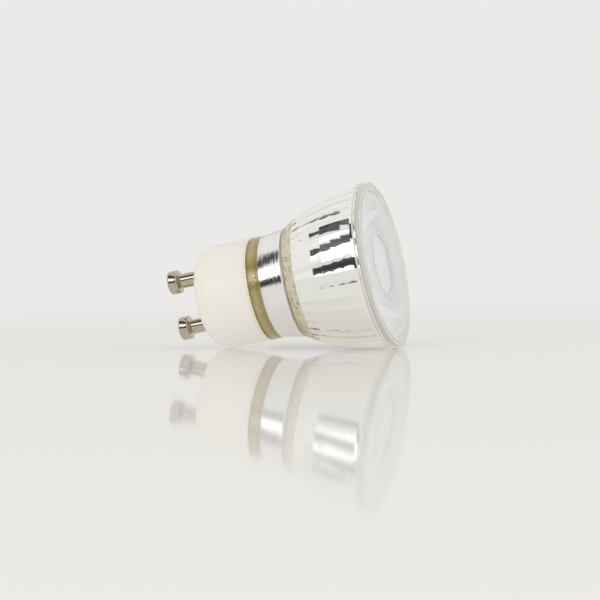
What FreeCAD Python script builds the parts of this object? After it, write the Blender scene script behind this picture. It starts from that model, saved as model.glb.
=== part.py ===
import FreeCAD, Part
import math
import os
import re

import Sketcher

# GU10 reflector spotlight, millimetres. The lamp stands on its front rim: z = 0 is the rim's front
# face, +Z runs along the lamp's axis to the contact pins, and the two pins are spaced along X.

doc = FreeCAD.newDocument("SpotlightBulb")
sheet = doc.addObject("Spreadsheet::Sheet", "Sizes")

driving = {
    # front rim: lens flange, bond line and glass lip
    "rimDia": 35.0,
    "lensFlangeInset": 0.15,
    "lensFlangeThk": 0.95,
    "lensBondThk": 0.1,
    "lipThk": 0.85,
    "edgeChamfer": 0.25,
    # pressed glass cup
    "lipWidth": 0.7,
    "flareEndDia": 24.6,
    "flareLen": 16.6,
    "flareCurve": 36.0,
    "shoulderLen": 0.8,
    "neckFrontDia": 23.4,
    "neckLen": 4.6,
    "ringLen": 3.5,
    "glassWall": 1.3,
    "facetColumns": 36,
    "facetTurn": 7.9,
    "facetMargin": 0.5,
    # turned aluminium cup behind the glass
    "sinkGap": 0.25,
    "sinkWall": 0.8,
    "sinkSetback": 0.4,
    "sinkFloorSetback": 2.1,
    "sinkFloorThk": 1.6,
    "bondLen": 2.2,
    "bondClear": 0.02,
    # base with its contact pins
    "baseDia": 21.9,
    "baseLen": 12.4,
    "baseRound": 4.3,
    "baseRearWall": 2.4,
    "seamGap": 0.05,
    "cementThk": 0.3,
    "spigotWall": 1.05,
    "pinPitch": 10.0,
    "pinHeadDia": 5.0,
    "pinHeadLen": 2.2,
    "pinHeadChamfer": 0.4,
    "pinNeckDia": 3.1,
    "pinNeckLen": 4.7,
    "pinShankDia": 2.4,
    "pinTailLen": 1.2,
    "pinClear": 0.05,
    # front lens
    "lensLandWidth": 1.4,
    "lensRecess": 0.5,
    "lensCentreDia": 13.0,
    "lensCentreRecess": 0.35,
    "lensPlugLen": 1.05,
    "lensPlugClear": 0.2,
    "lensLedGap": 0.75,
    "lensBodyClear": 0.35,
    "lensFootDia": 10.4,
    "lensBodyBulge": 1.0,
    "lensPocketDia": 8.0,
    "lensPocketDraft": 0.3,
    "lensPocketDepth": 6.6,
    "lensPocketRise": 1.2,
    "lensPocketCurve": 6.4,
    # light engine
    "ledBoardThk": 1.2,
    "ledBoardClear": 0.3,
    "ledSide": 7.0,
    "ledThk": 0.5,
    "phosphorDia": 5.2,
    "phosphorThk": 0.15,
    "insulatorThk": 0.6,
    "insulatorClear": 0.15,
    # driver inside the base
    "boardOffset": 1.2,
    "boardThk": 1.0,
    "boardClear": 0.15,
    "boardFront": 1.0,
    "boardLen": 11.4,
    "partGap": 0.05,
    "capWallClear": 0.07,
    "inputCapLen": 8.5,
    "inductorWallClear": 0.44,
    "inductorLen": 5.4,
    "inductorWindDepth": 0.7,
    "inductorFlange": 0.8,
    "sidePartOffset": 3.2,
    "sidePartInset": 0.6,
    "outputCapDia": 5.0,
    "outputCapLen": 7.0,
    "outputCapInset": 1.2,
    "capBead": 0.3,
    "chipLen": 4.9,
    "chipWidth": 3.8,
    "chipThk": 1.5,
    "bridgeLen": 4.0,
    "bridgeWidth": 3.8,
    "bridgeThk": 1.6,
    "bridgeEdgeInset": 0.65,
    "bridgeInset": 2.2,
    "fuseDia": 2.2,
    "fuseLen": 5.0,
    "leadDia": 0.7,
    "leadDrop": 1.4,
    "leadBend": 0.5,
    "fuseLeadLen": 3.2,
    "ledWireDia": 0.8,
    "ledWireSpan": 12.4,
    "ledWireLap": 1.6,
    "ledWireTail": 0.3,
    "wireClear": 0.2,
}

for row, (alias, number) in enumerate(driving.items(), start=1):
    sheet.set("A%d" % row, alias)
    sheet.set("B%d" % row, str(number))
    sheet.setAlias("B%d" % row, alias)
doc.recompute()


# Sheet names in a formula, written in full for the document's expressions
def linked(text):
    return re.sub(r"[A-Za-z]\w*", lambda word: "Sizes." + word[0] if word[0] in driving else word[0], text)


def number(text):
    return float(sheet.evalExpression(linked(text)))


def bind(item, prop, text):
    item.setExpression(prop, linked(text))


def group(text):
    return "(" + text + ")"


# Heights along the axis, from the rim's front face to the pin tips
lipFront = "(lensFlangeThk + lensBondThk)"
lipBack = group(lipFront + " + lipThk")
flareEnd = group(lipBack + " + flareLen")
neckFront = group(flareEnd + " + shoulderLen")
ringFront = group(neckFront + " + neckLen")
baseFront = group(ringFront + " + ringLen")
baseRear = group(baseFront + " + baseLen")
cavityEnd = group(baseRear + " - baseRearWall")
pinTail = group(cavityEnd + " - pinTailLen")
headBack = group(baseRear + " + pinNeckLen")
pinTip = group(headBack + " + pinHeadLen")
spigotFront = group(ringFront + " + seamGap * 2")
floorFront = group(neckFront + " + sinkFloorSetback")
floorBack = group(floorFront + " + sinkFloorThk")
boardStart = group(spigotFront + " + boardFront")

# Radii of the glass outside, before any inset
flareFrontRad = "(rimDia / 2 - lipWidth)"
flareEndRad = "flareEndDia / 2"
neckFrontRad = "neckFrontDia / 2"
ringRad = "baseDia / 2"

# Insets of the nested walls from the glass outside
glassIn = "glassWall"
sinkOut = "(glassWall + sinkGap)"
sinkIn = "(glassWall + sinkGap + sinkWall)"

spigotRad = group(ringRad + " - glassWall - cementThk")
cavityRad = group(spigotRad + " - spigotWall")
ledBoardFront = group(floorFront + " - ledBoardThk")
ledFront = group(ledBoardFront + " - ledThk")
boardBackFace = "boardOffset"
boardFrontFace = "(boardOffset + boardThk)"


def originPlane(body, role):
    return next(item for item in body.Origin.OriginFeatures if item.Role == role)


def newSketch(body, name, role):
    sketch = body.newObject("Sketcher::SketchObject", name)
    sketch.AttachmentSupport = [(originPlane(body, role), "")]
    sketch.MapMode = "FlatFace"
    return sketch


def fixPoint(sketch, edge, end, name, across, along):
    for axis, kind, text in ((-2, "DistanceX", across), (-1, "DistanceY", along)):
        if text == "0":
            sketch.addConstraint(Sketcher.Constraint("PointOnObject", edge, end, axis))
            continue
        index = sketch.addConstraint(Sketcher.Constraint(kind, -1, 1, edge, end, number(text)))
        title = name + kind
        sketch.renameConstraint(index, title)
        bind(sketch, "Constraints." + title, text)


# An edge between two corners: straight, or an arc that bulges to the left or right of its direction
def addEdge(sketch, name, first, last, radius=None, side=None):
    if radius is None:
        return sketch.addGeometry(Part.LineSegment(first, last)), 1, 2
    chord = last - first
    reach = number(radius)
    left = FreeCAD.Vector(-chord.y, chord.x, 0).normalize()
    depth = math.sqrt(max(reach ** 2 - chord.Length ** 2 / 4, 0))
    clockwise = side == "left"
    centre = (first + last) / 2 + left * (-depth if clockwise else depth)
    start, stop = (last, first) if clockwise else (first, last)
    startAngle = math.atan2(start.y - centre.y, start.x - centre.x)
    stopAngle = math.atan2(stop.y - centre.y, stop.x - centre.x)
    circle = Part.Circle(centre, FreeCAD.Vector(0, 0, 1), reach)
    edge = sketch.addGeometry(Part.ArcOfCircle(circle, startAngle, stopAngle))
    index = sketch.addConstraint(Sketcher.Constraint("Radius", edge, reach))
    sketch.renameConstraint(index, name + "Radius")
    bind(sketch, "Constraints." + name + "Radius", radius)
    return (edge, 2, 1) if clockwise else (edge, 1, 2)


# A chain of corners, each with the arc that leaves it, if any
def addOutline(sketch, corners, closed=True):
    places = [FreeCAD.Vector(number(corner[0]), number(corner[1]), 0) for corner in corners]
    count = len(corners)
    edges = []
    for index in range(count if closed else count - 1):
        after = (index + 1) % count
        edges.append(addEdge(sketch, "edge%d" % index, places[index], places[after], *corners[index][2:]))
    for index, (edge, start, stop) in enumerate(edges):
        if index + 1 < len(edges) or closed:
            follower = edges[(index + 1) % len(edges)]
            sketch.addConstraint(Sketcher.Constraint("Coincident", edge, stop, follower[0], follower[1]))
        fixPoint(sketch, edge, start, "corner%d" % index, corners[index][0], corners[index][1])
    if not closed:
        edge, start, stop = edges[-1]
        fixPoint(sketch, edge, stop, "corner%d" % (count - 1), corners[-1][0], corners[-1][1])


def newBody(label):
    body = doc.addObject("PartDesign::Body", label)
    body.Label = label
    return body


# A turned or moulded piece: its half section, revolved about the vertical axis
def revolved(label, corners):
    body = newBody(label)
    sketch = newSketch(body, label + "Section", "XZ_Plane")
    addOutline(sketch, corners)
    turn = body.newObject("PartDesign::Revolution", label + "Turn")
    turn.Profile = sketch
    turn.ReferenceAxis = (sketch, ["V_Axis"])
    turn.Angle = 360
    doc.recompute()
    return body


# Round holes along the axis on both sides of the middle, through the whole piece
def boreHoles(body, across, along, diameter):
    sketch = newSketch(body, body.Label + "Holes", "XY_Plane")
    radius = number(diameter) / 2
    for side, sign in (("left", -1), ("right", 1)):
        centre = FreeCAD.Vector(sign * number(across), number(along), 0)
        edge = sketch.addGeometry(Part.Circle(centre, FreeCAD.Vector(0, 0, 1), radius))
        ends = ((edge, 3), (-1, 1)) if sign < 0 else ((-1, 1), (edge, 3))
        index = sketch.addConstraint(Sketcher.Constraint("DistanceX", *ends[0], *ends[1], abs(centre.x)))
        sketch.renameConstraint(index, side + "Across")
        bind(sketch, "Constraints." + side + "Across", across)
        if along == "0":
            sketch.addConstraint(Sketcher.Constraint("PointOnObject", edge, 3, -1))
        else:
            index = sketch.addConstraint(Sketcher.Constraint("DistanceY", -1, 1, edge, 3, centre.y))
            sketch.renameConstraint(index, side + "Along")
            bind(sketch, "Constraints." + side + "Along", along)
        index = sketch.addConstraint(Sketcher.Constraint("Diameter", edge, 2 * radius))
        sketch.renameConstraint(index, side + "Diameter")
        bind(sketch, "Constraints." + side + "Diameter", diameter)
    before = body.Shape.Volume
    holes = body.newObject("PartDesign::Pocket", body.Label + "Bores")
    holes.Profile = sketch
    holes.Type = "ThroughAll"
    holes.Midplane = True
    doc.recompute()
    if body.Shape.Volume >= before:
        raise RuntimeError(body.Label + ": the holes cut nothing")


def placed(item, across, along, height):
    bind(item, "Placement.Base.x", across)
    bind(item, "Placement.Base.y", along)
    bind(item, "Placement.Base.z", height)


def block(label, sizes, corner):
    item = doc.addObject("Part::Box", label)
    for prop, text in zip(("Length", "Width", "Height"), sizes):
        bind(item, prop, text)
    placed(item, *corner)
    return item


def rod(label, diameter, length, start):
    item = doc.addObject("Part::Cylinder", label)
    bind(item, "Radius", group(diameter) + " / 2")
    bind(item, "Height", length)
    placed(item, *start)
    return item


# A can with a rolled bead near its front end, lying along the lamp's axis
def capacitor(label, radius, length, centre):
    waist = group(radius + " - capBead")
    body = revolved(label, [
        ("0", "seamGap"),
        (radius, "seamGap"),
        (radius, "capBead * 2"),
        (waist, "capBead * 3"),
        (radius, "capBead * 4"),
        (radius, length),
        ("0", length),
    ])
    placed(body, *centre)
    return body


# The flare's outside is one arc; its radius at any height comes from the arc's centre
flareDrop = "(rimDia / 2 - lipWidth - flareEndDia / 2)"
flareChord = "sqrt(" + flareDrop + " ^ 2 + flareLen ^ 2)"
flareRise = "sqrt(flareCurve ^ 2 - (" + flareChord + ") ^ 2 / 4)"
arcRad = group("(rimDia / 2 - lipWidth + flareEndDia / 2) / 2 - flareLen / " + flareChord + " * " + flareRise)
arcHeight = group(lipBack + " + flareLen / 2 - " + flareDrop + " / " + flareChord + " * " + flareRise)


def flareRad(height):
    return group(arcRad + " + sqrt(flareCurve ^ 2 - (" + height + " - " + arcHeight + ") ^ 2)")


# Pressed glass cup: lip, flare, shoulder and neck in one wall, with the inside of the flare still full
glassEnd = group(baseFront + " - seamGap")
rimRad = "rimDia / 2"
facetFront = group(lipBack + " + facetMargin")
facetEnd = group(flareEnd + " - bondLen")
mouthRad = group(flareFrontRad + " - " + glassIn)
glassBlank = revolved("glassBlank", [
    ("0", facetFront),
    (mouthRad, facetFront),
    (mouthRad, lipFront),
    (rimRad + " - edgeChamfer", lipFront),
    (rimRad, lipFront + " + edgeChamfer"),
    (rimRad, lipBack + " - edgeChamfer"),
    (rimRad + " - edgeChamfer", lipBack),
    (flareFrontRad, lipBack, "flareCurve", "right"),
    (flareEndRad, flareEnd),
    (neckFrontRad, neckFront),
    (ringRad, ringFront),
    (ringRad, glassEnd),
    (ringRad + " - " + glassIn, glassEnd),
    (ringRad + " - " + glassIn, ringFront),
    (neckFrontRad + " - " + glassIn, neckFront),
    (flareEndRad + " - " + glassIn, flareEnd),
    (flareRad(facetEnd) + " - " + glassIn, facetEnd),
    ("0", facetEnd),
])

# The plunger that presses the reflector facets: rows of flat panels between many-sided rings
facetRows = 6
facetRings = []
for level in range(facetRows + 1):
    share = level / facetRows
    height = group("%s + %r * (%s - %s)" % (facetFront, share, facetEnd, facetFront))
    ring = doc.addObject("Part::RegularPolygon", "facetRing%d" % level)
    bind(ring, "Polygon", "facetColumns")
    bind(ring, "Circumradius", flareRad(height) + " - " + glassIn)
    bind(ring, "Placement.Base.z", height)
    bind(ring, "Placement.Rotation.Angle", "facetTurn * 1 deg")
    facetRings.append(ring)
plunger = doc.addObject("Part::Loft", "facetPlunger")
plunger.Sections = facetRings
plunger.Solid = True
plunger.Ruled = True
glass = doc.addObject("Part::Cut", "glass_cup")
glass.Base = glassBlank
glass.Tool = plunger
doc.recompute()

# Turned aluminium cup behind the glass, with the floor that carries the light engine
sinkFront = group(lipBack + " + sinkSetback")
sinkMid = group(group(sinkFront + " + " + facetEnd) + " / 2")
coneDrop = "(neckFrontDia - baseDia) / 2 / neckLen"


def neckInside(height):
    return neckFrontRad + " - " + sinkIn + " - " + coneDrop + " * (" + height + " - " + neckFront + ")"


floorFrontRad = neckInside(floorFront)
floorBackRad = neckInside(floorBack)
sink = revolved("heat_sink_cup", [
    (flareFrontRad + " - " + sinkOut, sinkFront),
    (flareRad(sinkMid) + " - " + sinkOut, sinkMid),
    (flareRad(facetEnd) + " - " + sinkOut, facetEnd),
    (flareEndRad + " - " + sinkOut, flareEnd),
    (neckFrontRad + " - " + sinkOut, neckFront),
    (ringRad + " - " + sinkOut, ringFront),
    (ringRad + " - " + sinkIn, ringFront),
    (floorBackRad, floorBack),
    ("0", floorBack),
    ("0", floorFront),
    (floorFrontRad, floorFront),
    (neckFrontRad + " - " + sinkIn, neckFront),
    (flareEndRad + " - " + sinkIn, flareEnd),
    (flareRad(facetEnd) + " - " + sinkIn, facetEnd),
    (flareRad(sinkMid) + " - " + sinkIn, sinkMid),
    (flareFrontRad + " - " + sinkIn, sinkFront),
])
wireAcross = "ledWireSpan / 2"
wireAlong = group(boardBackFace + " - partGap - ledWireDia / 2")
wireHole = "(ledWireDia + wireClear * 2)"
boreHoles(sink, wireAcross, wireAlong, wireHole)

# Bead of bond between glass and aluminium, at the plain end of the flare
bondOut = "(glassWall + bondClear)"
bondIn = "(glassWall + sinkGap - bondClear)"
revolved("heat_sink_bond", [
    (flareRad(facetEnd) + " - " + bondOut, facetEnd),
    (flareEndRad + " - " + bondOut, flareEnd),
    (flareEndRad + " - " + bondIn, flareEnd),
    (flareRad(facetEnd) + " - " + bondIn, facetEnd),
])

# Moulded base: outer cup, and a spigot that the glass neck slides over
base = revolved("base_shell", [
    (ringRad, baseFront),
    (ringRad, baseRear + " - baseRound", "baseRound", "right"),
    (ringRad + " - baseRound", baseRear),
    ("0", baseRear),
    ("0", cavityEnd),
    (cavityRad, cavityEnd),
    (cavityRad, spigotFront),
    (spigotRad, spigotFront),
    (spigotRad, baseFront),
])
boreHoles(base, "pinPitch / 2", "0", "(pinShankDia + pinClear * 2)")

# Cement between spigot and glass, seen through the neck as the amber ring
cementOut = group(ringRad + " - glassWall - bondClear")
cementIn = group(spigotRad + " + bondClear")
revolved("neck_cement", [
    (cementIn, spigotFront),
    (cementOut, spigotFront),
    (cementOut, glassEnd),
    (cementIn, glassEnd),
])

# Turned contact pins: shank in the base, neck, and the head that locks in a lampholder
headRad = "pinHeadDia / 2"
for label, sign in (("contact_pin_live", ""), ("contact_pin_neutral", "-")):
    pin = revolved(label, [
        ("0", pinTail),
        ("pinShankDia / 2", pinTail),
        ("pinShankDia / 2", baseRear),
        ("pinNeckDia / 2", baseRear),
        ("pinNeckDia / 2", headBack),
        (headRad + " - edgeChamfer", headBack),
        (headRad, headBack + " + edgeChamfer"),
        (headRad, pinTip + " - pinHeadChamfer"),
        (headRad + " - pinHeadChamfer", pinTip),
        ("0", pinTip),
    ])
    bind(pin, "Placement.Base.x", sign + "pinPitch / 2")

# Clear front lens: flange on the rim, plug in the glass mouth and a collimating body
flangeRad = "(rimDia / 2 - lensFlangeInset)"
landRad = group(flangeRad + " - edgeChamfer - lensLandWidth")
plugRad = group(flareFrontRad + " - glassWall - lensPlugClear")
plugEnd = group("lensFlangeThk + lensPlugLen")
bodyRad = group(flareFrontRad + " - " + sinkIn + " - lensBodyClear")
bodyEnd = group(ledFront + " - phosphorThk - lensLedGap")
bodyMidRad = group(bodyRad + " / 2 + lensFootDia / 4 + lensBodyBulge")
bodyMid = group(group(plugEnd + " + " + bodyEnd) + " / 2")
pocketRad = "(lensPocketDia / 2)"
pocketTop = group(bodyEnd + " - lensPocketDepth")
centreRad = "lensCentreDia / 2"
centreDepth = "(lensRecess + lensCentreRecess)"
revolved("front_lens", [
    ("0", centreDepth),
    (centreRad + " - lensCentreRecess", centreDepth),
    (centreRad, "lensRecess"),
    (landRad + " - lensRecess", "lensRecess"),
    (landRad, "0"),
    (flangeRad + " - edgeChamfer", "0"),
    (flangeRad, "edgeChamfer"),
    (flangeRad, "lensFlangeThk"),
    (plugRad, "lensFlangeThk"),
    (plugRad, plugEnd),
    (bodyRad, plugEnd),
    (bodyMidRad, bodyMid),
    ("lensFootDia / 2", bodyEnd),
    (pocketRad, bodyEnd),
    (pocketRad + " - lensPocketDraft", pocketTop, "lensPocketCurve", "left"),
    ("0", pocketTop + " + lensPocketRise"),
])

# Bond line between the lens flange and the glass lip
revolved("lens_bond", [
    (flareFrontRad + " - " + glassIn, "lensFlangeThk"),
    (flangeRad + " - edgeChamfer", "lensFlangeThk"),
    (flangeRad + " - edgeChamfer", lipFront),
    (flareFrontRad + " - " + glassIn, lipFront),
])

# Light engine on the aluminium floor
ledBoard = revolved("led_board", [
    ("0", ledBoardFront),
    (group(floorFrontRad + " - ledBoardClear"), ledBoardFront),
    (group(floorFrontRad + " - ledBoardClear"), floorFront),
    ("0", floorFront),
])
boreHoles(ledBoard, wireAcross, wireAlong, wireHole)
block("led_package", ("ledSide", "ledSide", "ledThk"), ("-ledSide / 2", "-ledSide / 2", ledFront))
rod("led_phosphor", "phosphorDia", "phosphorThk", ("0", "0", ledFront + " - phosphorThk"))

insulatorRad = group(ringRad + " - " + sinkIn + " - insulatorClear")
insulator = revolved("insulator_disc", [
    ("0", floorBack),
    (insulatorRad, floorBack),
    (insulatorRad, floorBack + " + insulatorThk"),
    ("0", floorBack + " + insulatorThk"),
])
boreHoles(insulator, wireAcross, wireAlong, wireHole)

# Driver board, edge to edge across the base's cavity
boardHalf = group("sqrt(" + cavityRad + " ^ 2 - " + boardFrontFace + " ^ 2) - boardClear")
block("driver_board", ("2 * " + boardHalf, "boardThk", "boardLen"),
      ("-" + boardHalf, boardBackFace, boardStart))

# A round part on the front face, beside the middle: it fills the room up to the cavity's wall
boardStand = group(boardFrontFace + " + partGap")


def snugRad(clearance):
    reach = group(cavityRad + " - " + clearance)
    room = group(reach + " ^ 2 - sidePartOffset ^ 2 - " + boardStand + " ^ 2")
    return group(room + " / 2 / (" + reach + " + " + boardStand + ")")


# Parts on the front face of the board
inputCapRad = snugRad("capWallClear")
capacitor("input_capacitor", inputCapRad, "inputCapLen",
          ("-sidePartOffset", boardStand + " + " + inputCapRad, boardStart + " + sidePartInset"))
inductorRad = snugRad("inductorWallClear")
waistRad = group(inductorRad + " - inductorWindDepth")
inductor = revolved("inductor", [
    ("0", "seamGap"),
    (inductorRad, "seamGap"),
    (inductorRad, "inductorFlange"),
    (waistRad, "inductorFlange"),
    (waistRad, "inductorLen - inductorFlange"),
    (inductorRad, "inductorLen - inductorFlange"),
    (inductorRad, "inductorLen"),
    ("0", "inductorLen"),
])
placed(inductor, "sidePartOffset", boardStand + " + " + inductorRad, boardStart + " + sidePartInset")
chipStart = group(boardStart + " + sidePartInset * 2 + inductorLen")
block("driver_chip", ("chipLen", "chipThk", "chipWidth"),
      ("sidePartOffset - chipLen / 2", boardFrontFace, chipStart))

# Parts on the back face of the board
outputCapRad = "(outputCapDia / 2)"
outputCapAlong = group(boardBackFace + " - partGap - " + outputCapRad)
capacitor("output_capacitor", outputCapRad, "outputCapLen",
          ("0", outputCapAlong, boardStart + " + outputCapInset"))
block("bridge_rectifier", ("bridgeLen", "bridgeThk", "bridgeWidth"),
      ("bridgeEdgeInset - " + boardHalf, boardBackFace + " - bridgeThk", boardStart + " + bridgeInset"))

# Live side: the pin's wire runs straight into a fusible resistor beside the board
fuseEnd = group(pinTail + " - fuseLeadLen")
fuseAlong = group("min(0; " + boardBackFace + " - partGap - fuseDia / 2)")
rod("lead_wire_live", "leadDia", "fuseLeadLen", ("pinPitch / 2", "0", fuseEnd))
rod("fuse_resistor", "fuseDia", "fuseLen", ("pinPitch / 2", fuseAlong, fuseEnd + " - fuseLen"))

# Neutral side: a bent wire from the pin's tail to the board
neutral = newBody("lead_wire_neutral")
spine = newSketch(neutral, "neutralRoute", "YZ_Plane")
turnStart = group(pinTail + " - leadDrop + leadBend")
addOutline(spine, [
    ("0", pinTail),
    ("0", turnStart, "leadBend", "right"),
    ("leadBend", pinTail + " - leadDrop"),
    (boardBackFace, pinTail + " - leadDrop"),
], closed=False)
section = newSketch(neutral, "neutralSection", "XY_Plane")
bind(section, "AttachmentOffset.Base.z", pinTail)
ring = section.addGeometry(Part.Circle(FreeCAD.Vector(), FreeCAD.Vector(0, 0, 1), number("leadDia / 2")))
section.addConstraint(Sketcher.Constraint("Coincident", ring, 3, -1, 1))
index = section.addConstraint(Sketcher.Constraint("Diameter", ring, number("leadDia")))
section.renameConstraint(index, "wireDia")
bind(section, "Constraints.wireDia", "leadDia")
doc.recompute()
run = neutral.newObject("PartDesign::AdditivePipe", "neutralRun")
run.Profile = section
run.Spine = spine
bind(neutral, "Placement.Base.x", "-pinPitch / 2")
doc.recompute()

# Light engine wires, through the aluminium floor from board to board
wireFront = group(ledBoardFront + " - ledWireTail")
wireLen = group(boardStart + " + ledWireLap - " + wireFront)
for label, sign in (("led_wire_positive", ""), ("led_wire_negative", "-")):
    rod(label, "ledWireDia", wireLen, (sign + wireAcross, wireAlong, wireFront))

doc.recompute()

# Every object has to be sound before anything is written
pieceTypes = ("PartDesign::Body", "Part::Box", "Part::Cylinder", "Part::Cut")
pieces = [item for item in doc.Objects if item.TypeId in pieceTypes and item is not glassBlank]
for item in doc.Objects:
    if "Invalid" in item.State or "Error" in item.State:
        raise RuntimeError(item.Label + " failed: " + str(item.State))
for item in pieces:
    if item.Shape.isNull() or not item.Shape.isValid() or len(item.Shape.Solids) != 1:
        raise RuntimeError(item.Label + " is not one sound solid")

os.makedirs("parts", exist_ok=True)
for item in pieces:
    item.Shape.exportStep(os.path.join("parts", item.Label + ".step"))
    print("%-20s %8.2f mm3" % (item.Label, item.Shape.Volume))
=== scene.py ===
import math

import bmesh
import bpy
from mathutils import Matrix, Vector


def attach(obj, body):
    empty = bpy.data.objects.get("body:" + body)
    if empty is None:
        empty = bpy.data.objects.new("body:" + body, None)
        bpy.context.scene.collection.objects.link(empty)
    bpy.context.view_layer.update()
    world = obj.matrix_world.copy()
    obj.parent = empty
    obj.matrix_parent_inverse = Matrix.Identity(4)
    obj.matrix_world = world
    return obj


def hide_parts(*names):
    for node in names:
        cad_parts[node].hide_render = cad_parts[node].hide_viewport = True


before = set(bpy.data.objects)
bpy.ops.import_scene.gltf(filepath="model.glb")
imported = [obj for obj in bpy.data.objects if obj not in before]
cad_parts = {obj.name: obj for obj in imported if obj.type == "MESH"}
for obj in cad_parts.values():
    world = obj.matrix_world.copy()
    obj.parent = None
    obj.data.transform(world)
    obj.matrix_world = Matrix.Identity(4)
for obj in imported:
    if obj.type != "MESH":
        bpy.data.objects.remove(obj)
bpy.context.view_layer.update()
mm = 0.001
print("frame loaded:", len(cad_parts), "nodes")


# Shared mesh helpers

meshing = {"merge": 1e-7, "onRing": 1e-6, "sharpAngle": 32, "segments": 3, "profile": 0.5}


def reachOf(point):
    # distance from the lamp's axis
    return math.hypot(point.x, point.y)


def spread(first, last, cuts):
    # evenly spaced values from first to last
    return [first + (last - first) * i / cuts for i in range(cuts + 1)]


def outlineMesh(points, steps):
    # a closed half section of (radius, height) points in millimetres, spun about the lamp's axis
    bm = bmesh.new()
    corners = [bm.verts.new((radius * mm, 0, height * mm)) for radius, height in points]
    edges = [bm.edges.new(pair) for pair in zip(corners, corners[1:] + corners[:1])]
    bmesh.ops.spin(bm, geom=corners + edges, cent=(0, 0, 0), axis=(0, 0, 1),
                   angle=2 * math.pi, steps=steps, use_merge=True)
    bmesh.ops.remove_doubles(bm, verts=bm.verts, dist=meshing["merge"])
    bmesh.ops.dissolve_degenerate(bm, edges=bm.edges, dist=meshing["merge"])
    loose = [edge for edge in bm.edges if not edge.link_faces]      # what the outline leaves along the axis
    bmesh.ops.delete(bm, geom=loose, context="EDGES")
    bmesh.ops.recalc_face_normals(bm, faces=bm.faces)
    return bm


def ringEdges(bm, radius, height):
    # the circle of edges that one corner of the outline became
    def onRing(vert):
        level = abs(vert.co.z - height * mm) < meshing["onRing"]
        return level and abs(reachOf(vert.co) - radius * mm) < meshing["onRing"]

    return [edge for edge in bm.edges if all(onRing(vert) for vert in edge.verts)]


def roundRings(bm, rings, width, segments=meshing["segments"]):
    for radius, height in rings:
        bmesh.ops.bevel(bm, geom=ringEdges(bm, radius, height), offset=width * mm, offset_type="OFFSET",
                        affect="EDGES", segments=segments, profile=meshing["profile"], material=-1)


def shade(bm):
    # smooth all over, with creases where faces meet at a steep angle
    for face in bm.faces:
        face.smooth = True
    for edge in bm.edges:
        edge.smooth = edge.calc_face_angle(0) < math.radians(meshing["sharpAngle"])


def placeMesh(bm, name, materials):
    mesh = bpy.data.meshes.new(name)
    bm.to_mesh(mesh)
    bm.free()
    thing = bpy.data.objects.new(name, mesh)
    bpy.context.scene.collection.objects.link(thing)
    for material in materials:
        mesh.materials.append(material)
    return thing


def finishPiece(bm, name, materials, node):
    piece = placeMesh(bm, name, materials)
    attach(piece, "root")
    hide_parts(node)
    print("made", name, len(piece.data.polygons), "faces")


# Shared node helpers

mixSockets = {"share": 0, "first": 6, "second": 7, "result": 2}      # the colour sockets of a Mix node


def feed(tree, value, socket):
    # an output is linked to the socket, a number or colour is set on it
    if isinstance(value, bpy.types.NodeSocket):
        tree.links.new(value, socket)
    else:
        socket.default_value = value


def mathNode(tree, operation, *values):
    node = tree.nodes.new("ShaderNodeMath")
    node.operation = operation
    for value, socket in zip(values, node.inputs):
        feed(tree, value, socket)
    return node.outputs[0]


def mixColours(tree, share, first, second):
    node = tree.nodes.new("ShaderNodeMix")
    node.data_type = "RGBA"
    for title, value in (("share", share), ("first", first), ("second", second)):
        feed(tree, value, node.inputs[mixSockets[title]])
    return node.outputs[mixSockets["result"]]


def mixShaders(tree, share, first, second):
    node = tree.nodes.new("ShaderNodeMixShader")
    for value, socket in zip((share, first, second), node.inputs):
        feed(tree, value, socket)
    return node.outputs[0]


def rangeNode(tree, value, start=0, end=1, low=0, high=1, kind="LINEAR"):
    # takes start to low and end to high
    node = tree.nodes.new("ShaderNodeMapRange")
    node.interpolation_type = kind
    for title, number in (("From Min", start), ("From Max", end), ("To Min", low), ("To Max", high)):
        node.inputs[title].default_value = number
    feed(tree, value, node.inputs["Value"])
    return node.outputs["Result"]


# Surface effects that several materials share

effects = {"driftDetail": 3, "markDetail": 3, "markScale": 1, "maskStart": 0.3, "maskEnd": 0.7}


def newGroup(name, inputs, outputs):
    group = bpy.data.node_groups.new(name, "ShaderNodeTree")
    for title, kind, default in inputs:
        socket = group.interface.new_socket(name=title, in_out="INPUT", socket_type=kind)
        socket.default_value = default
    for title, kind in outputs:
        group.interface.new_socket(name=title, in_out="OUTPUT", socket_type=kind)
    return group, group.nodes.new("NodeGroupInput"), group.nodes.new("NodeGroupOutput")


def putOutNoise(group, noise, result):
    # the noise itself as a height for the bump, and spread out as a mask
    height = noise.outputs["Fac"]
    mask = rangeNode(group, height, effects["maskStart"], effects["maskEnd"])
    group.links.new(height, result.inputs["Height"])
    group.links.new(mask, result.inputs["Mask"])


def makeGrainGroup():
    # fine moulded grain
    group, entry, result = newGroup(
        "fineGrain",
        [("Vector", "NodeSocketVector", (0, 0, 0)), ("Scale", "NodeSocketFloat", 900.0),
         ("Detail", "NodeSocketFloat", 4.0)],
        [("Height", "NodeSocketFloat"), ("Mask", "NodeSocketFloat")])
    noise = group.nodes.new("ShaderNodeTexNoise")
    for title in ("Vector", "Scale", "Detail"):
        group.links.new(entry.outputs[title], noise.inputs[title])
    putOutNoise(group, noise, result)
    return group


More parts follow.
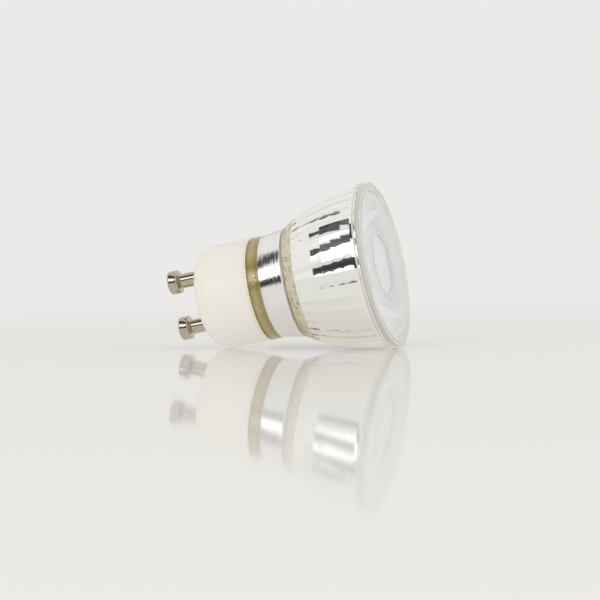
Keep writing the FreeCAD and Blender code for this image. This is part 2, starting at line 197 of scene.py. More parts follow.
def makeDriftGroup():
    # a slow change between two colours, as in moulded and cast pieces
    group, entry, result = newGroup(
        "colourDrift",
        [("Vector", "NodeSocketVector", (0, 0, 0)), ("Scale", "NodeSocketFloat", 120.0),
         ("Colour A", "NodeSocketColor", (1, 1, 1, 1)), ("Colour B", "NodeSocketColor", (1, 1, 1, 1))],
        [("Colour", "NodeSocketColor")])
    noise = group.nodes.new("ShaderNodeTexNoise")
    noise.inputs["Detail"].default_value = effects["driftDetail"]
    for title in ("Vector", "Scale"):
        group.links.new(entry.outputs[title], noise.inputs[title])
    blend = mixColours(group, noise.outputs["Fac"], entry.outputs["Colour A"], entry.outputs["Colour B"])
    group.links.new(blend, result.inputs["Colour"])
    return group


def makeTurnedGroup():
    # tool marks of a lathe: fine along the lamp's axis, long around it
    group, entry, result = newGroup(
        "turnedMarks",
        [("Vector", "NodeSocketVector", (0, 0, 0)), ("Pitch", "NodeSocketFloat", 5000.0),
         ("Around", "NodeSocketFloat", 60.0)],
        [("Height", "NodeSocketFloat"), ("Mask", "NodeSocketFloat")])
    split = group.nodes.new("ShaderNodeSeparateXYZ")
    group.links.new(entry.outputs["Vector"], split.inputs[0])
    join = group.nodes.new("ShaderNodeCombineXYZ")
    for axis, source in (("X", "Around"), ("Y", "Around"), ("Z", "Pitch")):
        stretched = mathNode(group, "MULTIPLY", split.outputs[axis], entry.outputs[source])
        group.links.new(stretched, join.inputs[axis])
    noise = group.nodes.new("ShaderNodeTexNoise")
    noise.inputs["Scale"].default_value = effects["markScale"]
    noise.inputs["Detail"].default_value = effects["markDetail"]
    group.links.new(join.outputs[0], noise.inputs["Vector"])
    putOutNoise(group, noise, result)
    return group


grainGroup = makeGrainGroup()
driftGroup = makeDriftGroup()
turnedGroup = makeTurnedGroup()
print("surface effects made")


# Materials: grain, drift and pitch are patterns per metre, depth is in millimetres

screen = {"white": 255, "toeEnd": 10, "toe": 12.92, "offset": 0.055, "power": 2.4}


def toLinear(level):
    # a screen level, as the linear value that shaders take
    share = level / screen["white"]
    if level <= screen["toeEnd"]:
        return share / screen["toe"]
    return ((share + screen["offset"]) / (1 + screen["offset"])) ** screen["power"]


def colour(*levels):
    return tuple(toLinear(level) for level in levels) + (1,)


def newMaterial(name, **sockets):
    material = bpy.data.materials.new(name)
    material.use_nodes = True
    tree = material.node_tree
    shader = tree.nodes["Principled BSDF"]
    for title, value in sockets.items():
        shader.inputs[title.replace("_", " ")].default_value = value
    place = tree.nodes.new("ShaderNodeTexCoord").outputs["Object"]
    return material, tree, shader, place


def bareMaterial(name):
    # with no shader yet
    material = bpy.data.materials.new(name)
    material.use_nodes = True
    tree = material.node_tree
    tree.nodes.remove(tree.nodes["Principled BSDF"])
    return material, tree


def addGroup(tree, group, place, **values):
    node = tree.nodes.new("ShaderNodeGroup")
    node.node_tree = group
    tree.links.new(place, node.inputs["Vector"])
    for title, value in values.items():
        node.inputs[title.replace("_", " ")].default_value = value
    return node


def addBump(tree, shader, height, look):
    bump = tree.nodes.new("ShaderNodeBump")
    bump.inputs["Strength"].default_value = look["strength"]
    bump.inputs["Distance"].default_value = look["depth"] * mm
    tree.links.new(height, bump.inputs["Height"])
    tree.links.new(bump.outputs["Normal"], shader.inputs["Normal"])


def addRoughness(tree, shader, mask, look):
    roughness = rangeNode(tree, mask, low=look["smooth"], high=look["dull"])
    tree.links.new(roughness, shader.inputs["Roughness"])


def addGrain(tree, shader, place, look):
    # grain in the bump, and its mask for other uses
    grain = addGroup(tree, grainGroup, place, Scale=look["grain"], Detail=look["detail"])
    addBump(tree, shader, grain.outputs["Height"], look)
    return grain.outputs["Mask"]


def addDrift(tree, place, scale, light, dark):
    return addGroup(tree, driftGroup, place, Scale=scale, Colour_A=light, Colour_B=dark).outputs["Colour"]


glassLook = {
    "tint": (1.0, 1.0, 0.99, 1), "ior": 1.52, "absorb": (0.80, 0.80, 0.42, 1), "density": 8.0,
    "grain": 260.0, "detail": 1.0, "strength": 0.12, "depth": 0.05,
}


def makeGlass():
    # pressed clear glass: slightly wavy, with an olive tint where it is thick
    material, tree, shader, place = newMaterial(
        "pressedGlass", Base_Color=glassLook["tint"], Roughness=0.0, Transmission_Weight=1.0,
        IOR=glassLook["ior"])
    addGrain(tree, shader, place, glassLook)
    absorb = tree.nodes.new("ShaderNodeVolumeAbsorption")
    absorb.inputs["Color"].default_value = glassLook["absorb"]
    absorb.inputs["Density"].default_value = glassLook["density"]
    tree.links.new(absorb.outputs[0], tree.nodes["Material Output"].inputs["Volume"])
    return material


mirrorLook = {
    "colour": (0.985, 0.985, 0.98, 1), "smooth": 0.015, "dull": 0.06,
    "grain": 420.0, "detail": 2.0, "strength": 0.1, "depth": 0.03,
}


def makeMirror():
    # bright metal coat on the pressed facets
    material, tree, shader, place = newMaterial("mirrorCoat", Base_Color=mirrorLook["colour"], Metallic=1.0)
    addRoughness(tree, shader, addGrain(tree, shader, place, mirrorLook), mirrorLook)
    return material


lensPlastic = {"ior": 1.49, "grain": 350.0, "detail": 2.0, "strength": 0.06, "depth": 0.03}
lensLook = {
    "lensFace": {"tint": (0.995, 0.99, 1.0, 1), "clear": 0.45, "smooth": 0.02, "dull": 0.08},
    "lensFlange": {"tint": (0.995, 0.98, 0.9, 1), "clear": 0.52, "smooth": 0.0, "dull": 0.015},
    "lensBody": {"tint": (0.995, 0.995, 1.0, 1), "clear": 1.0, "smooth": 0.0, "dull": 0.03},
    "clearBond": {"tint": (0.8, 0.73, 0.47, 1), "clear": 0.3, "smooth": 0.1, "dull": 0.3},
}


def makeLensPlastic(name, look):
    # clear moulded plastic, from glassy to hazy
    material, tree, shader, place = newMaterial(
        name, Base_Color=look["tint"], Transmission_Weight=look["clear"], IOR=lensPlastic["ior"])
    addRoughness(tree, shader, addGrain(tree, shader, place, lensPlastic), look)
    return material


ivoryLook = {
    "light": colour(234, 232, 225), "warm": colour(229, 225, 213), "drift": 90.0,
    "glow": 0.3, "glowRadius": (1.0, 0.92, 0.8), "glowScale": 1.5,
    "smooth": 0.38, "dull": 0.5, "grain": 2600.0, "detail": 4.0, "strength": 0.18, "depth": 0.02,
}


def makeIvory():
    # satin moulded plastic that light enters a little
    material, tree, shader, place = newMaterial(
        "ivoryPlastic", Subsurface_Weight=ivoryLook["glow"], Subsurface_Radius=ivoryLook["glowRadius"],
        Subsurface_Scale=ivoryLook["glowScale"] * mm)
    drift = addDrift(tree, place, ivoryLook["drift"], ivoryLook["light"], ivoryLook["warm"])
    tree.links.new(drift, shader.inputs["Base Color"])
    addRoughness(tree, shader, addGrain(tree, shader, place, ivoryLook), ivoryLook)
    return material


metalLook = {
    "pinNickel": {
        "light": (0.66, 0.59, 0.49, 1), "dark": (0.46, 0.395, 0.31, 1), "pitch": 14000.0, "around": 40.0,
        "smooth": 0.07, "dull": 0.16, "strength": 0.1, "depth": 0.015,
    },
    "turnedAluminium": {
        "light": (0.97, 0.97, 0.975, 1), "dark": (0.92, 0.92, 0.93, 1), "pitch": 3400.0, "around": 60.0,
        "smooth": 0.03, "dull": 0.09, "strength": 0.75, "depth": 0.04,
    },
}


def makeMetal(name, look):
    # turned on a lathe: the marks are in the colour, the roughness and the bump
    material, tree, shader, place = newMaterial(name, Metallic=1.0)
    marks = addGroup(tree, turnedGroup, place, Pitch=look["pitch"], Around=look["around"])
    blend = mixColours(tree, marks.outputs["Mask"], look["light"], look["dark"])
    tree.links.new(blend, shader.inputs["Base Color"])
    addRoughness(tree, shader, marks.outputs["Mask"], look)
    addBump(tree, shader, marks.outputs["Height"], look)
    return material


castGrain = {"finer": 2.5, "detail": 3.0}
# pale cement colour; on the glass's end it also makes a painted highlight band
paleLook = {
    "light": colour(244, 238, 214), "dark": colour(232, 222, 190), "drift": 500.0, "roughness": 0.3,
    "strength": 0.5, "depth": 0.05,
}


def makeCast(name, look):
    # opaque cast or moulded stuff, its grain finer than its mottling
    material, tree, shader, place = newMaterial(name, Roughness=look["roughness"])
    drift = addDrift(tree, place, look["drift"], look["light"], look["dark"])
    tree.links.new(drift, shader.inputs["Base Color"])
    addGrain(tree, shader, place,
             {**look, "grain": look["drift"] * castGrain["finer"], "detail": castGrain["detail"]})
    return material


amberLook = {
    "light": colour(251, 231, 152), "dark": colour(242, 213, 116), "drift": 420.0,
    "roughness": 0.09, "specular": 1.0,
    "shade": colour(208, 178, 80), "shadeFrom": 26.3, "shadeTo": 25.0,
    "void": (0.82, 0.76, 0.58, 1), "voidFrom": 0.72, "voidTo": 0.9,
    "grain": 5400.0, "detail": 2.0, "strength": 0.35, "depth": 0.06,
}


def makeAmber():
    # amber cement seen through the glass, darker towards the collar and sparkling with tiny voids
    material, tree, shader, place = newMaterial(
        "amberCement", Roughness=amberLook["roughness"], Specular_IOR_Level=amberLook["specular"])
    drift = addDrift(tree, place, amberLook["drift"], amberLook["light"], amberLook["dark"])
    split = tree.nodes.new("ShaderNodeSeparateXYZ")
    tree.links.new(place, split.inputs[0])
    shaded = rangeNode(tree, split.outputs["Z"], amberLook["shadeFrom"] * mm, amberLook["shadeTo"] * mm,
                       kind="SMOOTHSTEP")
    cement = mixColours(tree, shaded, drift, amberLook["shade"])
    grain = addGrain(tree, shader, place, amberLook)
    voids = rangeNode(tree, grain, amberLook["voidFrom"], amberLook["voidTo"])      # glint like silver
    tree.links.new(voids, shader.inputs["Metallic"])
    tree.links.new(mixColours(tree, voids, cement, amberLook["void"]), shader.inputs["Base Color"])
    return material


bubbleLook = {
    "light": colour(255, 251, 236), "stain": colour(248, 236, 196), "drift": 420.0,
    "edge": colour(124, 104, 48), "edgeWidth": 0.13, "size": 820.0, "bubble": 0.36,
    "patchFiner": 1.7, "patchDetail": 2.0,
    "roughness": 0.14, "metallic": 0.6, "strength": 0.3, "depth": 0.1,
}


def makeBubbleBond():
    # a clear film of bond on bright metal, full of bubbles and stained olive in patches
    material, tree, shader, place = newMaterial(
        "bubbleBond", Roughness=bubbleLook["roughness"], Metallic=bubbleLook["metallic"])
    drift = addDrift(tree, place, bubbleLook["drift"], bubbleLook["light"], bubbleLook["stain"])
    patches = addGroup(tree, grainGroup, place, Scale=bubbleLook["drift"] * bubbleLook["patchFiner"],
                       Detail=bubbleLook["patchDetail"])
    cells = tree.nodes.new("ShaderNodeTexVoronoi")
    cells.inputs["Scale"].default_value = bubbleLook["size"]
    tree.links.new(place, cells.inputs["Vector"])
    fromEdge = mathNode(tree, "SUBTRACT", cells.outputs["Distance"], bubbleLook["bubble"])
    edges = rangeNode(tree, mathNode(tree, "ABSOLUTE", fromEdge), end=bubbleLook["edgeWidth"], low=1, high=0)
    share = mathNode(tree, "MULTIPLY", edges, patches.outputs["Mask"])
    tree.links.new(mixColours(tree, share, drift, bubbleLook["edge"]), shader.inputs["Base Color"])
    addBump(tree, shader, cells.outputs["Distance"], bubbleLook)
    return material


pressedGlass = makeGlass()
mirrorCoat = makeMirror()
lensFace, lensFlange, lensBody, clearBond = [makeLensPlastic(name, look) for name, look in lensLook.items()]
ivoryPlastic = makeIvory()
pinNickel, turnedAluminium = [makeMetal(name, look) for name, look in metalLook.items()]
amberCement = makeAmber()
paleCementAndHighlight = makeCast("paleCementAndHighlight", paleLook)
bubbleBond = makeBubbleBond()
print("materials made")


# Glass cup: smooth outside, pressed facets inside

cup = {
    "rim": 17.5, "lipFront": 1.05, "lipBack": 1.9, "lipRound": 0.25, "wall": 1.3,
    "flareFront": 16.8, "flareEnd": 12.3, "flareEndHeight": 18.5, "flareCurve": 36.0, "flareCuts": 28,
    "neckFront": 11.7, "neckHeight": 19.3, "shoulder": 0.4,
    "ringRad": 10.95, "ringHeight": 23.9, "end": 27.35,
    "facetFront": 2.4, "facetEnd": 16.3, "rows": 6, "columns": 36, "rowCuts": 4, "columnCuts": 4,
    "facetTurn": 7.9, "pillow": 0.05, "pillowEnds": 0.5,
    "cementSkin": 24.6, "cementFront": 24.75, "cementAndHighlight": 27.05,      # heights where the finish changes
    "mirrorEdge": 17.1, "lipTilt": 0.1, "inside": 0.1, "bondInside": 0.3,
    "slack": 1e-4, "onSeam": 1e-3,
}
cupFinishes = {
    "glass": pressedGlass, "mirror": mirrorCoat, "amber": amberCement, "bubbles": bubbleBond,
    "skin": clearBond, "collar": turnedAluminium, "pale": paleCementAndHighlight,
}
cupSlots = list(cupFinishes)
neckSlope = (cup["neckFront"] - cup["ringRad"]) / (cup["ringHeight"] - cup["neckHeight"])
facetRow = (cup["facetEnd"] - cup["facetFront"]) / cup["rows"]
facetHalf = math.pi / cup["columns"]


def flareRadius(height):
    # radius of the outside arc at a height
    drop = cup["flareFront"] - cup["flareEnd"]
    length = cup["flareEndHeight"] - cup["lipBack"]
    chord = math.hypot(drop, length)
    rise = math.sqrt(cup["flareCurve"] ** 2 - chord ** 2 / 4)
    centreRadius = (cup["flareFront"] + cup["flareEnd"]) / 2 - length / chord * rise
    centreHeight = cup["lipBack"] + length / 2 - drop / chord * rise
    return centreRadius + math.sqrt(cup["flareCurve"] ** 2 - (height - centreHeight) ** 2)


def cupOutline():
    wall = cup["wall"]
    mouth = cup["flareFront"] - wall
    bend = (cup["neckFront"] - neckSlope * cup["shoulder"], cup["neckHeight"] + cup["shoulder"])
    outside = spread(cup["lipBack"], cup["flareEndHeight"], cup["flareCuts"])[1:-1]
    facetHeights = spread(cup["facetEnd"], cup["facetFront"], cup["rows"] * cup["rowCuts"])
    points = [(mouth, cup["lipFront"]), (cup["rim"], cup["lipFront"]), (cup["rim"], cup["lipBack"]),
              (cup["flareFront"], cup["lipBack"])]
    points += [(flareRadius(height), height) for height in outside]
    points += [(cup["flareEnd"], cup["flareEndHeight"]), (cup["neckFront"], cup["neckHeight"]), bend]
    points += [(cup["ringRad"], cup[key]) for key in ("ringHeight", "cementAndHighlight", "end")]
    points += [(cup["ringRad"] - wall, cup[key])
               for key in ("end", "cementAndHighlight", "cementFront", "cementSkin", "ringHeight")]
    points += [(bend[0] - wall, bend[1]), (cup["neckFront"] - wall, cup["neckHeight"]),
               (cup["flareEnd"] - wall, cup["flareEndHeight"])]
    points += [(flareRadius(height) - wall, height) for height in facetHeights]
    points.append((mouth, cup["facetFront"]))
    return points


def facetVerts(bm):
    # corners of the smooth inside, from the first row to the last
    found = []
    for vert in bm.verts:
        height = vert.co.z / mm
        inRows = cup["facetFront"] - cup["slack"] < height < cup["facetEnd"] + cup["slack"]
        if inRows and abs(reachOf(vert.co) / mm - flareRadius(height) + cup["wall"]) < cup["onSeam"]:
            found.append(vert)
    return found


def pressFacets(verts):
    # moves the smooth inside onto flat panels, each pillowed towards the lamp's axis
    for vert in verts:
        angle = math.atan2(vert.co.y, vert.co.x) % (2 * facetHalf) - facetHalf
        row = (vert.co.z / mm - cup["facetFront"]) / facetRow
        across = angle / facetHalf
        along = 2 * (row - math.floor(row + cup["slack"])) - 1
        radius = reachOf(vert.co)
        sunk = cup["pillow"] * mm * (1 - across ** 2) * (1 - cup["pillowEnds"] * min(along ** 2, 1))
        scale = (radius * math.cos(facetHalf) / math.cos(angle) - sunk) / radius
        vert.co.x *= scale
        vert.co.y *= scale


def cupFinish(face, pressed):
    # what a face of the glass shows
    middle = face.calc_center_median()
    height = middle.z / mm
    reach = reachOf(middle) / mm
    inNeck = reach < cup["ringRad"] - cup["inside"]
    if all(vert in pressed for vert in face.verts):
        return "mirror"
    if height > cup["cementAndHighlight"]:
        return "pale"           # pale cement over the glass's end, widened into a band as a painted highlight
    if height > cup["cementFront"] and inNeck:
        return "amber"          # cement that grips the neck
    if height > cup["cementSkin"] and inNeck:
        return "skin"           # where it thins out to a haze
    if height > cup["flareEndHeight"] and inNeck:
        return "collar"         # aluminium against the glass
    if cup["facetEnd"] < height < cup["flareEndHeight"]:
        wet = reach < flareRadius(height) - cup["wall"] + cup["bondInside"]
        return "bubbles" if wet else "glass"
    if height < cup["facetFront"] and reach < cup["mirrorEdge"] and face.normal.z < cup["lipTilt"]:
        return "mirror"         # runs on over the lip
    return "glass"


def onSeam(values):
    near = all(abs(value - round(value)) < cup["onSeam"] for value in values)
    return near and abs(values[0] - values[1]) < cup["onSeam"]


def creaseFacets(bm):
    # sharp seams between the panels
    mirror = cupSlots.index("mirror")
    for edge in bm.edges:
        if not all(face.material_index == mirror for face in edge.link_faces):
            continue
        rows = [(vert.co.z / mm - cup["facetFront"]) / facetRow for vert in edge.verts]
        columns = [math.atan2(vert.co.y, vert.co.x) / (2 * facetHalf) for vert in edge.verts]
        if onSeam(rows) or onSeam(columns):
            edge.smooth = False


def makeCup():
    bm = outlineMesh(cupOutline(), cup["columns"] * cup["columnCuts"])
    inside = facetVerts(bm)
    pressFacets(inside)
    pressed = set(inside)
    for face in bm.faces:
        face.material_index = cupSlots.index(cupFinish(face, pressed))
    roundRings(bm, [(cup["rim"], cup["lipFront"]), (cup["rim"], cup["lipBack"])], cup["lipRound"])
    shade(bm)
    creaseFacets(bm)
    facetTurn = Matrix.Rotation(math.radians(cup["facetTurn"]), 3, "Z")
    bmesh.ops.rotate(bm, verts=bm.verts, cent=(0, 0, 0), matrix=facetTurn)
    finishPiece(bm, "glassCup", cupFinishes.values(), "glass_cup")


makeCup()


# Front lens: flange, plug and collimating body in one clear moulding

lens = {
    "flange": 17.35, "flangeThick": 0.95, "edge": 0.22, "land": 15.7, "recess": 0.5,
    "centre": 6.5, "centreDrop": 0.35, "groove": 16.5, "ridge": 7.4,
    "trim": 0.14, "trimFoot": 1.5, "trimTop": 0.5,
    "plug": 15.3, "plugEnd": 2.0, "body": 14.1, "bodyMid": 10.65, "foot": 5.2, "bodyEnd": 18.8,
    "pocket": 4.0, "pocketDraft": 0.3, "pocketDepth": 6.6, "pocketRise": 1.2, "cuts": 12, "steps": 160,
}
lensFinishes = {"face": lensFace, "flange": lensFlange, "body": lensBody}
lensSlots = list(lensFinishes)


def bead(radius, height, step):
    # a narrow moulded ring on the front, raised or sunk by a step
    foot = lens["trim"] * lens["trimFoot"]
    top = lens["trim"] * lens["trimTop"]
    return [(radius - foot, height), (radius - top, height + step), (radius + top, height + step),
            (radius + foot, height)]


def lensOutline():
    dish = lens["recess"] + lens["centreDrop"]
    points = [(0, dish), (lens["centre"] - lens["centreDrop"], dish), (lens["centre"], lens["recess"])]
    points += bead(lens["ridge"], lens["recess"], -lens["trim"])
    points += [(lens["land"] - lens["recess"], lens["recess"]), (lens["land"], 0)]
    points += bead(lens["groove"], 0, lens["trim"])
    points += [(lens["flange"], 0), (lens["flange"], lens["flangeThick"]),
               (lens["plug"], lens["flangeThick"]), (lens["plug"], lens["plugEnd"])]
    bulge = lens["bodyMid"] - (lens["body"] + lens["foot"]) / 2
    for share in spread(0, 1, lens["cuts"]):
        # a parabola through the body's three radii
        straight = lens["body"] + (lens["foot"] - lens["body"]) * share
        points.append((straight + 4 * share * (1 - share) * bulge,
                       lens["plugEnd"] + (lens["bodyEnd"] - lens["plugEnd"]) * share))
    points.append((lens["pocket"], lens["bodyEnd"]))
    pocketTop = lens["bodyEnd"] - lens["pocketDepth"]
    pocketReach = lens["pocket"] - lens["pocketDraft"]
    for share in spread(0, 1, lens["cuts"]):
        # the pocket's domed end
        points.append((pocketReach * (1 - share), pocketTop + lens["pocketRise"] * (1 - (1 - share) ** 2)))
    return points


def makeLens():
    bm = outlineMesh(lensOutline(), lens["steps"])
    for face in bm.faces:
        middle = face.calc_center_median()
        if reachOf(middle) > lens["plug"] * mm:
            face.material_index = lensSlots.index("flange")
        elif middle.z > lens["flangeThick"] * mm:
            face.material_index = lensSlots.index("body")
    roundRings(bm, [(lens["flange"], 0), (lens["land"], 0)], lens["edge"])
    shade(bm)
    finishPiece(bm, "frontLens", lensFinishes.values(), "front_lens")


makeLens()


# Clear bond between the flange and the glass, a hair short of both so that light passes cleanly

bond = {"inner": 15.5, "outer": 17.1, "front": 0.96, "back": 1.04, "steps": 128}


def makeLensBond():
    points = [(bond["inner"], bond["front"]), (bond["outer"], bond["front"]),
              (bond["outer"], bond["back"]), (bond["inner"], bond["back"])]
    bm = outlineMesh(points, bond["steps"])
    shade(bm)
    finishPiece(bm, "lensBond", [clearBond], "lens_bond")


makeLensBond()


# Aluminium cup behind the glass

sink = {
    "gap": 0.25, "wall": 0.8, "front": 2.3, "floorFront": 21.4, "floorBack": 23.0, "shoulder": 0.9,
    "cuts": 14, "steps": 160,
}


def makeSink():
    outer = cup["wall"] + sink["gap"]
    inner = outer + sink["wall"]
    neckOut = cup["neckFront"] - outer
    neckIn = cup["neckFront"] - inner
    floorFrontRad = neckIn - neckSlope * (sink["floorFront"] - cup["neckHeight"])
    floorBackRad = neckIn - neckSlope * (sink["floorBack"] - cup["neckHeight"])
    heights = spread(sink["front"], cup["flareEndHeight"], sink["cuts"])
    points = [(flareRadius(height) - outer, height) for height in heights]
    points += [(neckOut, cup["neckHeight"]),
               (neckOut - neckSlope * sink["shoulder"], cup["neckHeight"] + sink["shoulder"]),
               (cup["ringRad"] - outer, cup["ringHeight"]), (cup["ringRad"] - inner, cup["ringHeight"]),
               (floorBackRad, sink["floorBack"]), (0, sink["floorBack"]),
               (0, sink["floorFront"]), (floorFrontRad, sink["floorFront"]), (neckIn, cup["neckHeight"])]
    points += [(flareRadius(height) - inner, height) for height in reversed(heights)]
    bm = outlineMesh(points, sink["steps"])
    shade(bm)
    finishPiece(bm, "heatSinkCup", [turnedAluminium], "heat_sink_cup")


makeSink()


# Moulded base with its spigot

base = {
    "rad": 10.95, "front": 27.4, "rear": 39.8, "round": 4.3, "roundSegments": 12,
    "frontEdge": 0.12, "frontSegments": 2, "spigot": 9.35, "spigotFront": 24.0,
    "cavity": 8.3, "cavityEnd": 37.4, "steps": 128,
}


def makeBase():
    points = [(base["rad"], base["front"]), (base["rad"], base["rear"]), (0, base["rear"]),
              (0, base["cavityEnd"]), (base["cavity"], base["cavityEnd"]),
              (base["cavity"], base["spigotFront"]), (base["spigot"], base["spigotFront"]),
              (base["spigot"], base["front"])]
    bm = outlineMesh(points, base["steps"])
    roundRings(bm, [(base["rad"], base["rear"])], base["round"], base["roundSegments"])
    roundRings(bm, [(base["rad"], base["front"])], base["frontEdge"], base["frontSegments"])
    shade(bm)
    finishPiece(bm, "baseShell", [ivoryPlastic], "base_shell")


makeBase()


# Turned contact pins

pin = {
    "pitch": 10.0, "tail": 36.2, "shank": 1.2, "root": 39.8, "neck": 1.55,
    "headBack": 44.5, "head": 2.5, "tip": 46.7, "groove": 0.25, "grooveRad": 1.3,
    "backEdge": 0.25, "tipEdge": 0.4, "tipSegments": 4, "steps": 64,
}


def makePin(name, side, node):
    grooveBack = pin["headBack"] - pin["groove"]
    neckEnd = pin["headBack"] - pin["groove"] * 2
    points = [(0, pin["tail"]), (pin["shank"], pin["tail"]), (pin["shank"], pin["root"]),
              (pin["neck"], pin["root"]), (pin["neck"], neckEnd), (pin["grooveRad"], grooveBack),
              (pin["grooveRad"], pin["headBack"]), (pin["head"], pin["headBack"]),
              (pin["head"], pin["tip"]), (0, pin["tip"])]
    bm = outlineMesh(points, pin["steps"])
    roundRings(bm, [(pin["head"], pin["headBack"])], pin["backEdge"])
    roundRings(bm, [(pin["head"], pin["tip"])], pin["tipEdge"], pin["tipSegments"])
    bmesh.ops.translate(bm, verts=bm.verts, vec=(side * pin["pitch"] / 2 * mm, 0, 0))
    shade(bm)
    finishPiece(bm, name, [pinNickel], node)


makePin("contactPinLive", 1, "contact_pin_live")
makePin("contactPinNeutral", -1, "contact_pin_neutral")


# Finishes of the inner pieces, which keep their CAD shapes: light and dark colour, drift, roughness

innerBump = {"strength": 0.15, "depth": 0.02}
innerLook = {
    "led_board": ("boardWhite", colour(238, 238, 236), colour(226, 226, 224), 300.0, 0.4),
    "led_package": ("packageWhite", colour(242, 240, 232), colour(230, 228, 218), 400.0, 0.35),
    "led_phosphor": ("phosphorYellow", colour(236, 206, 96), colour(222, 184, 72), 900.0, 0.45),
    "insulator_disc": ("insulatorFilm", colour(196, 170, 110), colour(180, 152, 96), 260.0, 0.4),
    "driver_board": ("boardGreen", colour(46, 96, 58), colour(36, 80, 48), 240.0, 0.35),
    "driver_chip": ("chipBlack", colour(34, 34, 36), colour(24, 24, 26), 900.0, 0.55),
    "bridge_rectifier": ("rectifierBlack", colour(38, 38, 40), colour(26, 26, 28), 900.0, 0.5),
    "input_capacitor": ("canSleeve", colour(40, 46, 66), colour(30, 34, 52), 350.0, 0.3),
    "output_capacitor": ("canSleeveDark", colour(30, 32, 38), colour(22, 24, 30), 350.0, 0.3),
    "inductor": ("ferriteCore", colour(62, 58, 56), colour(48, 44, 42), 800.0, 0.6),
    "fuse_resistor": ("resistorBody", colour(98, 138, 150), colour(84, 122, 134), 600.0, 0.4),
    "lead_wire_live": ("wireTin", colour(186, 184, 180), colour(164, 162, 158), 900.0, 0.3),
    "lead_wire_neutral": ("wireTinPlain", colour(186, 184, 180), colour(164, 162, 158), 900.0, 0.3),
    "led_wire_positive": ("wireRed", colour(176, 40, 36), colour(156, 30, 28), 500.0, 0.4),
    "led_wire_negative": ("wireBlack", colour(36, 36, 38), colour(26, 26, 28), 500.0, 0.4),
}


def dressNode(node, material):
    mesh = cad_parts[node].data
    mesh.materials.clear()
    mesh.materials.append(material)


for node, (name, light, dark, drift, roughness) in innerLook.items():
    look = {"light": light, "dark": dark, "drift": drift, "roughness": roughness, **innerBump}
    dressNode(node, makeCast(name, look))
dressNode("neck_cement", paleCementAndHighlight)
dressNode("heat_sink_bond", bubbleBond)
print("inner pieces dressed")


# The photograph's set: the lamp lies on a glossy table, seen almost level. Set axes: X right, Y away, Z up

shot = {
    "turn": 13.47, "tilt": 10.9, "pinRoll": 7.9,          # how the lamp lies, in degrees
    "distance": 500.0, "lift": 1.5, "roll": -0.63,        # camera to the rim's centre, and its angles
    "focal": 2410.0, "rimPixel": (385.7, 263.7), "frameSize": 600,
    "sensor": 36, "nearest": 10.0,
}
turn, tilt, pinRoll = (math.radians(shot[key]) for key in ("turn", "tilt", "pinRoll"))
setUp = Vector((0, 0, 1))
axisOut = Vector((math.cos(tilt) * math.cos(turn), -math.cos(tilt) * math.sin(turn), math.sin(tilt)))
riseOut = (setUp - axisOut * axisOut.z).normalized()
sideOut = axisOut.cross(riseOut)
lampX = riseOut * math.cos(pinRoll) + sideOut * math.sin(pinRoll)
lampZ = -axisOut
lampY = lampZ.cross(lampX)
setToLamp = Matrix((lampX, lampY, lampZ))


def inLamp(point):
    # a point of the set, in millimetres, as a place in the lamp's frame
    return setToLamp @ Vector(point) * mm


def poseInLamp(thing, place, right, up, back):
    # stands a camera or light in the set
    axes = Matrix((setToLamp @ right, setToLamp @ up, setToLamp @ back)).transposed()
    thing.matrix_world = Matrix.Translation(inLamp(place)) @ axes.to_4x4()


def directionTo(turnAway, rise):
    # from the lamp towards the camera's side, turned to the left and raised, in degrees
    turnAway = math.radians(turnAway)
    rise = math.radians(rise)
    flat = math.cos(rise)
    return Vector((-math.sin(turnAway) * flat, -math.cos(turnAway) * flat, math.sin(rise)))


def makeCamera():
    lift = math.radians(shot["lift"])
    roll = math.radians(shot["roll"])
    ahead = Vector((0, math.cos(lift), -math.sin(lift)))
    level = Vector((1, 0, 0))
    upright = Vector((0, math.sin(lift), math.cos(lift)))
    right = level * math.cos(roll) + upright * math.sin(roll)
    up = upright * math.cos(roll) - level * math.sin(roll)
    middle = shot["frameSize"] / 2
    aim = ahead * shot["focal"] + right * (middle - shot["rimPixel"][0]) - up * (middle - shot["rimPixel"][1])
    aim.normalize()
    up = (up - aim * up.dot(aim)).normalized()
    data = bpy.data.cameras.new("photoCamera")
    data.sensor_width = shot["sensor"]
    data.lens = shot["sensor"] * shot["focal"] / shot["frameSize"]
    data.clip_start = shot["nearest"] * mm
    camera = bpy.data.objects.new("photoCamera", data)
    bpy.context.scene.collection.objects.link(camera)
    poseInLamp(camera, -ahead * shot["distance"], aim.cross(up), up, -aim)
    bpy.context.scene.camera = camera


makeCamera()


# Table under the lamp, touching the rim and the edge of the base

table = {
    "rim": (17.5, 1.5), "baseEdge": (10.88, 36.3), "size": 500.0, "cuts": 2,
    "colour": colour(235, 233, 231), "gloss": (0.95, 0.95, 0.95, 1), "ior": 1.15, "roughness": 0.05,
    # the darker tone is a painted shadow of the lamp, which metal and glass see on the table near it
    "mirrored": colour(226, 224, 220), "paintedShadow": colour(210, 206, 197), "shadowFrom": 13.0, "shadowTo": 34.0,
    "fadeAt": (0, -120.0, 0), "fadeFrom": 190.0, "fadeTo": 390.0,
}


def addDistance(tree, centre, start, end):
    # goes from 0 to 1 with the distance from a point, in millimetres
    place = tree.nodes.new("ShaderNodeTexCoord")
    length = tree.nodes.new("ShaderNodeVectorMath")
    length.operation = "DISTANCE"
    length.inputs[1].default_value = Vector(centre) * mm
    tree.links.new(place.outputs["Object"], length.inputs[0])
    return rangeNode(tree, length.outputs["Value"], start * mm, end * mm, kind="SMOOTHSTEP")


